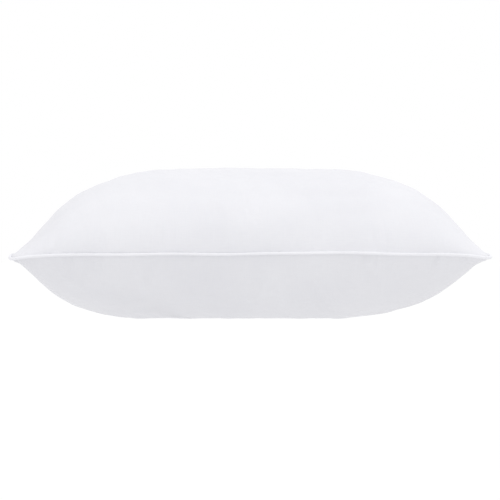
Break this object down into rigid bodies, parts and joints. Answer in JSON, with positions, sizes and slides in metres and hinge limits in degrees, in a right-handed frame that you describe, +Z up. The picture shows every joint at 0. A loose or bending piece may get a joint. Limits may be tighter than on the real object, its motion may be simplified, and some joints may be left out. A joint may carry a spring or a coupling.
{
  "type": "bed pillow",
  "caption": "Plump filled pillow with a smooth woven cotton casing and a thin corded edge, lying flat; concave sides and small pointed corners.",
  "frame": {"origin": "on the surface the pillow lies on, under the middle of the casing", "axes": "+X along the long sides, -Y to the front long side, +Z up through the thickness"},
  "size_m": [0.6372, 0.4878, 0.205],
  "materials": {
    "ticking": "matte",
    "piping": "matte",
    "filling": "matte",
    "cord": "matte",
    "thread": "satin",
    "label": "satin"
  },
  "bodies": {
    "root": {"top_panel": "ticking", "bottom_panel": "ticking", "fibre_fill": "filling", "piping_cover": "piping", "piping_cord": "cord", "seam_needle_thread": "thread", "seam_bobbin_thread": "thread", "closing_thread": "thread", "care_label": "label"}
  },
  "joints": []
}
